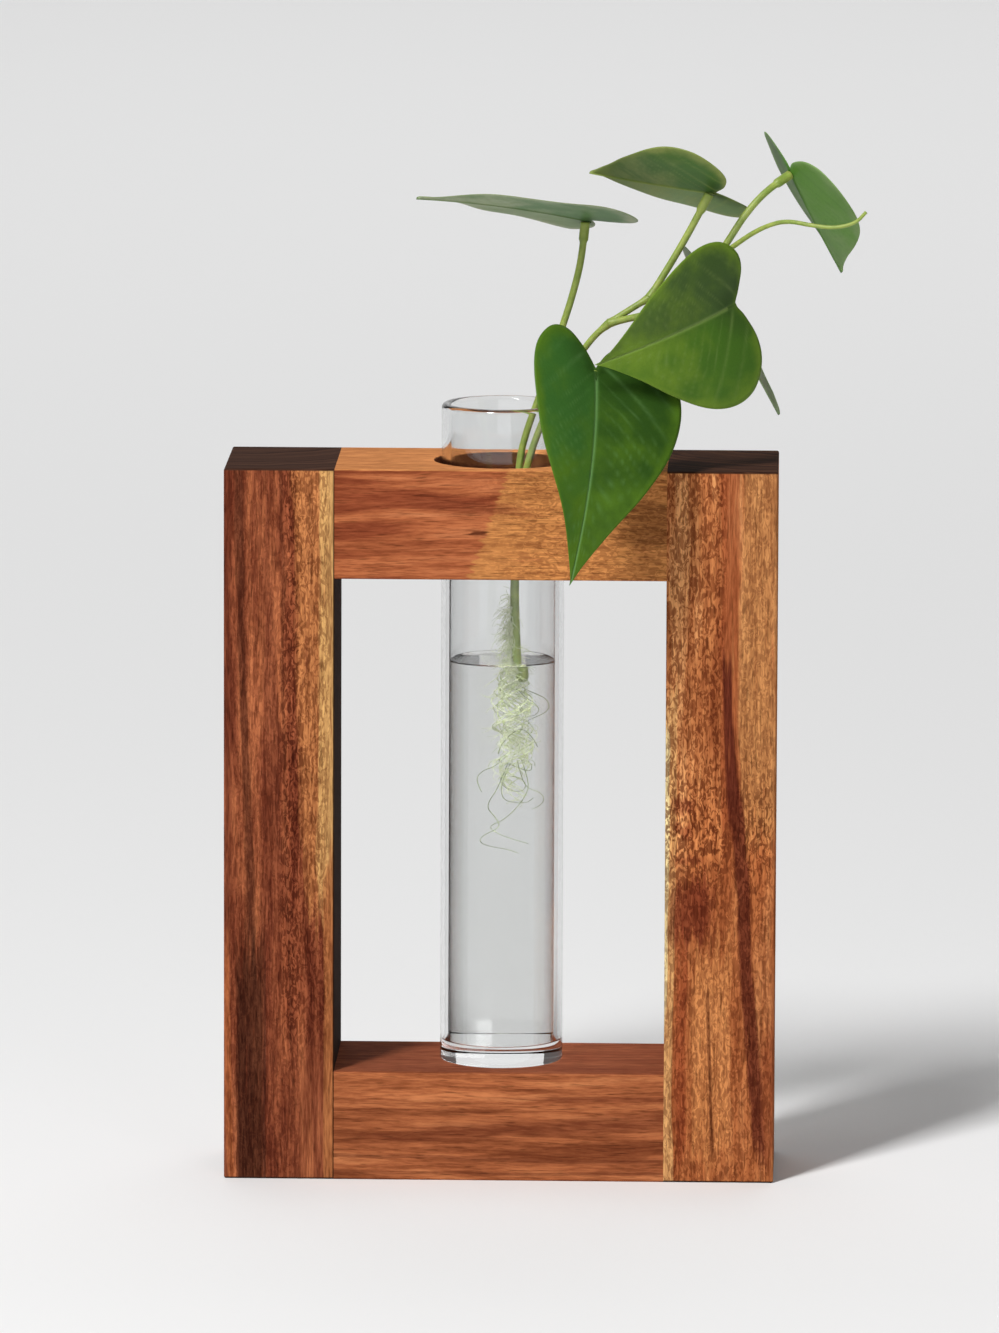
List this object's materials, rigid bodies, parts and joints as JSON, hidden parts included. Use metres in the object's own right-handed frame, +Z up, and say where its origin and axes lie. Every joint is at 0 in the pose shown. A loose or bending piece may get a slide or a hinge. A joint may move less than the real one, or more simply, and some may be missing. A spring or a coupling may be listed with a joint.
{
  "type": "propagation vase",
  "caption": "Clear glass tube standing in a rectangular wooden frame, holding water and a rooted heart-leaf cutting.",
  "frame": {"origin": "middle of the frame's footprint, on the floor", "axes": "+Z up, along the tube; +X to the right and -Y towards the viewer in the picture's front view"},
  "size_m": [0.1447, 0.08, 0.2373],
  "materials": {
    "left_stile_wood": "oiled acacia, red-brown heartwood",
    "right_stile_wood": "oiled acacia, orange-brown",
    "top_rail_wood": "oiled acacia",
    "bottom_rail_wood": "oiled acacia",
    "dowel_wood": "plain beech",
    "clear_glass": "clear, fire-polished rim",
    "water": "clear water",
    "stem": "satin green stalk",
    "leaf_dark": "satin dark green leaf",
    "leaf_light": "satin green leaf",
    "root": "pale root"
  },
  "bodies": {
    "frame": {"left_stile": "left_stile_wood", "right_stile": "right_stile_wood", "top_rail": "top_rail_wood", "bottom_rail": "bottom_rail_wood", "dowels_top_left": "dowel_wood", "dowels_top_right": "dowel_wood", "dowels_bottom_left": "dowel_wood", "dowels_bottom_right": "dowel_wood"},
    "tube": {"glass_tube": "clear_glass", "water": "water"},
    "cutting": {"main_stem": "stem", "shoot_tip": "stem", "petiole_front": "stem", "petiole_large": "stem", "petiole_left": "stem", "petiole_upper": "stem", "petiole_right": "stem", "petiole_back": "stem", "leaf_front": "leaf_dark", "leaf_large": "leaf_light", "leaf_left": "leaf_light", "leaf_upper": "leaf_light", "leaf_right": "leaf_light", "leaf_back": "leaf_light", "roots": "root"}
  },
  "joints": [
    {"name": "tube_lift", "type": "slide", "parent": "frame", "child": "tube", "axis": [0, 0, 1], "range_m": [0, 0.145]},
    {"name": "cutting_lift", "type": "slide", "parent": "tube", "child": "cutting", "axis": [0, 0, 1], "range_m": [0, 0.112], "deforming": ["water"]}
  ]
}
